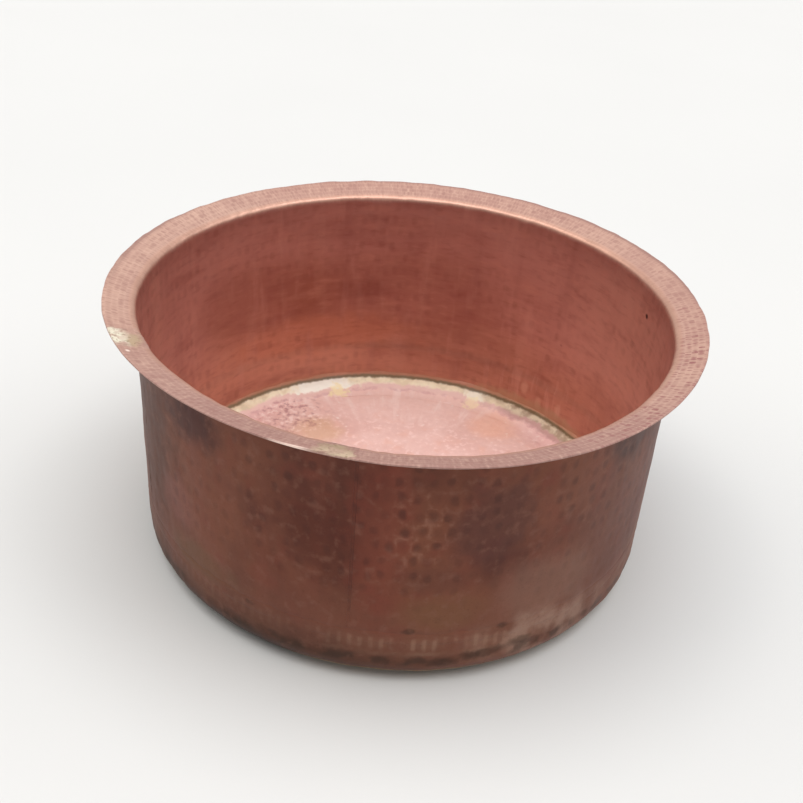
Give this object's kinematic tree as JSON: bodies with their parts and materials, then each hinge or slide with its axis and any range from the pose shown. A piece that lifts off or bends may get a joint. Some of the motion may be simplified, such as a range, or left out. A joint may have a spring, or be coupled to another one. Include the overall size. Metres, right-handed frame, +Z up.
{
  "type": "hammered copper cooking vessel",
  "caption": "Wide straight-walled open vessel of hammered copper sheet with a turned-out flat rim, a rounded base corner and brass-brazed wall and base seams.",
  "frame": {"origin": "centre of the underside of the flat base", "axes": "+Z up along the vessel's axis, out of its mouth; the front wall seam faces -Y and the left wall seam lies towards -X"},
  "size_m": [0.4499, 0.45, 0.206],
  "materials": {
    "wall_copper": "planished copper, darkened by use outside, with a rubbed pink rim",
    "base_copper": "planished copper, pink and pitted inside, brown outside",
    "seam_spelter": "rough brass spelter, hammered and filed",
    "base_spelter": "rough brass spelter with olive flux residue"
  },
  "bodies": {
    "root": {"long_wall_sheet": "wall_copper", "short_wall_sheet": "wall_copper", "front_seam_braze": "seam_spelter", "left_seam_braze": "seam_spelter", "base_pan": "base_copper", "base_seam_braze": "base_spelter"}
  },
  "joints": []
}
